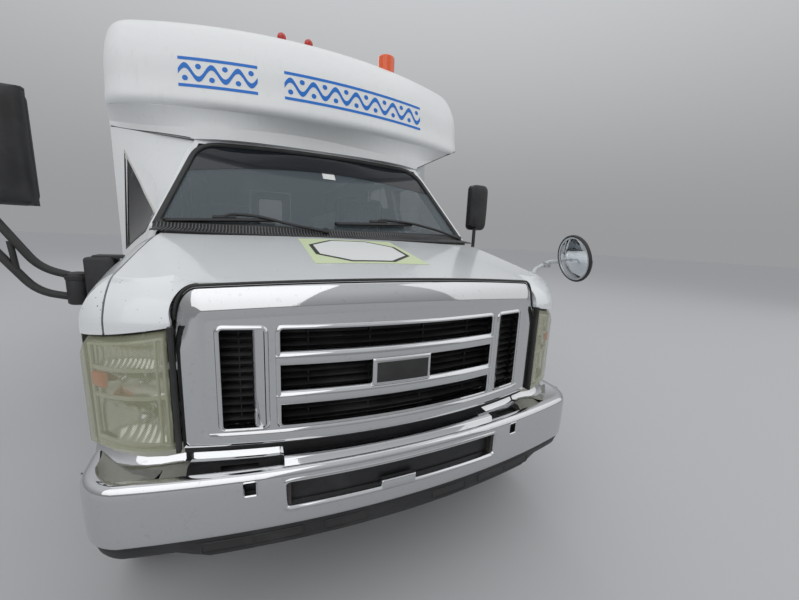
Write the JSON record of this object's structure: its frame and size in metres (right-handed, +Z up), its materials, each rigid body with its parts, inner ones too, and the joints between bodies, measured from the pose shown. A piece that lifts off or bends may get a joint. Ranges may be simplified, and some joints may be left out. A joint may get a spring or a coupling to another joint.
{
  "type": "ice cream truck",
  "caption": "Bonneted van-based ice cream truck with a wide moulded body, serving hatch, awning flap, folding entry door and chrome nose.",
  "frame": {"origin": "on the ground under the middle of the truck, centred on its length and width", "axes": "-Y is the way it drives, +X is the driver side, +Z is up"},
  "size_m": [2.68, 7.116, 2.824],
  "materials": {
    "frame_black": "satin black chassis paint with road dust",
    "engine_iron": "cast iron and aluminium, oily",
    "axle_black": "black painted forgings with light rust",
    "tank_black": "black coated steel",
    "exhaust_steel": "aluminised steel, heat stained",
    "white_paint": "white gloss car paint with stone chips",
    "chrome": "bright chrome with pitting",
    "black_plastic": "weathered black plastic",
    "lamp_lens": "hazed, yellowed lamp lens",
    "floor_grey": "grey floor covering",
    "glass": "lightly tinted glass",
    "white_gelcoat": "moulded white gelcoat, slightly chalked",
    "white_panel": "white painted aluminium sheet",
    "black_trim": "black powder coated frame",
    "bare_aluminium": "extruded aluminium",
    "red_lens": "red lamp lens",
    "amber_lens": "amber lamp lens",
    "grey_plastic": "grained grey plastic",
    "seat_fabric": "grey woven seat cloth",
    "steel_sheet": "stainless sheet",
    "tyre": "black tyre rubber",
    "wheel_steel": "silver painted steel wheel"
  },
  "bodies": {
    "truck_body": {"beacon": "amber_lens", "body_floor": "floor_grey", "body_glass": "glass", "bumper_valance": "black_plastic", "cab_floor": "floor_grey", "cab_frame": "white_paint", "chassis_frame": "frame_black", "cowl": "black_plastic", "dashboard": "grey_plastic", "engine_block": "engine_iron", "exhaust": "exhaust_steel", "fairing": "white_gelcoat", "front_axle": "axle_black", "front_bumper": "chrome", "front_cap": "white_gelcoat", "front_fenders": "white_paint", "fuel_tank": "tank_black", "galley": "steel_sheet", "grille_louvres": "black_plastic", "grille_surround": "chrome", "headlamps": "lamp_lens", "leaf_springs": "axle_black", "mirrors": "black_plastic", "rear_axle": "axle_black", "rear_bumper": "frame_black", "rear_wall": "white_panel", "red_lamps": "red_lens", "roof_panel": "white_gelcoat", "seat": "seat_fabric", "serving_frame": "bare_aluminium", "steering_wheel": "grey_plastic", "wall_curb": "white_panel", "wall_driver": "white_panel", "windscreen": "glass", "wipers": "black_plastic"},
    "knuckle_left": {"knuckle_left": "axle_black"},
    "knuckle_right": {"knuckle_right": "axle_black"},
    "wheel_front_left": {"rim_front_left": "wheel_steel", "tyre_front_left": "tyre"},
    "wheel_front_right": {"rim_front_right": "wheel_steel", "tyre_front_right": "tyre"},
    "wheel_rear_left": {"rim_rear_left": "wheel_steel", "tyre_rear_left": "tyre"},
    "wheel_rear_right": {"rim_rear_right": "wheel_steel", "tyre_rear_right": "tyre"},
    "hood": {"hood": "white_paint"},
    "driver_door": {"driver_door": "white_paint", "driver_door_glass": "glass", "door_mirror": "black_plastic"},
    "entry_leaf_front": {"entry_leaf_front": "black_trim", "entry_pane_front": "glass"},
    "entry_leaf_rear": {"entry_leaf_rear": "black_trim", "entry_pane_rear": "glass"},
    "awning_flap": {"awning_flap": "white_panel"},
    "counter_shelf": {"counter_shelf": "bare_aluminium"},
    "rear_door": {"rear_door": "white_panel", "rear_door_glass": "glass"}
  },
  "joints": [
    {"name": "steer_left", "type": "hinge", "parent": "truck_body", "child": "knuckle_left", "pos_m": [0.79, -2.76, 0.372], "axis": [0, 0, 1], "range_deg": [-32, 32]},
    {"name": "steer_right", "type": "hinge", "parent": "truck_body", "child": "knuckle_right", "pos_m": [-0.79, -2.76, 0.372], "axis": [0, 0, 1], "range_deg": [-32, 32]},
    {"name": "roll_front_left", "type": "hinge", "parent": "knuckle_left", "child": "wheel_front_left", "pos_m": [0.881, -2.76, 0.372], "axis": [1, 0, 0], "continuous": true},
    {"name": "roll_front_right", "type": "hinge", "parent": "knuckle_right", "child": "wheel_front_right", "pos_m": [-0.881, -2.76, 0.372], "axis": [1, 0, 0], "continuous": true},
    {"name": "roll_rear_left", "type": "hinge", "parent": "truck_body", "child": "wheel_rear_left", "pos_m": [0.945, 1.253, 0.372], "axis": [1, 0, 0], "continuous": true},
    {"name": "roll_rear_right", "type": "hinge", "parent": "truck_body", "child": "wheel_rear_right", "pos_m": [-0.945, 1.253, 0.372], "axis": [1, 0, 0], "continuous": true},
    {"name": "hood_hinge", "type": "hinge", "parent": "truck_body", "child": "hood", "pos_m": [0, -2.6, 1.376], "axis": [-1, 0, 0], "range_deg": [0, 50]},
    {"name": "driver_door_hinge", "type": "hinge", "parent": "truck_body", "child": "driver_door", "pos_m": [1.012, -2.338, 1.2], "axis": [0, 0, -1], "range_deg": [0, 65]},
    {"name": "entry_front_hinge", "type": "hinge", "parent": "truck_body", "child": "entry_leaf_front", "pos_m": [-1.219, -1.605, 1.3], "axis": [0, 0, 1], "range_deg": [0, 85]},
    {"name": "entry_rear_hinge", "type": "hinge", "parent": "truck_body", "child": "entry_leaf_rear", "pos_m": [-1.219, -0.795, 1.3], "axis": [0, 0, 1], "range_deg": [-85, 0]},
    {"name": "awning_hinge", "type": "hinge", "parent": "truck_body", "child": "awning_flap", "pos_m": [-1.225, 0.35, 2.095], "axis": [0, 1, 0], "range_deg": [0, 95]},
    {"name": "shelf_hinge", "type": "hinge", "parent": "truck_body", "child": "counter_shelf", "pos_m": [-1.224, 0.35, 1.22], "axis": [0, 1, 0], "range_deg": [0, 90]},
    {"name": "rear_door_hinge", "type": "hinge", "parent": "truck_body", "child": "rear_door", "pos_m": [0.395, 3.495, 1.54], "axis": [0, 0, -1], "range_deg": [0, 110]}
  ],
  "couplings": [
    {"joint": "steer_right", "follows": "steer_left", "ratio": 1},
    {"joint": "entry_rear_hinge", "follows": "entry_front_hinge", "ratio": -1}
  ]
}
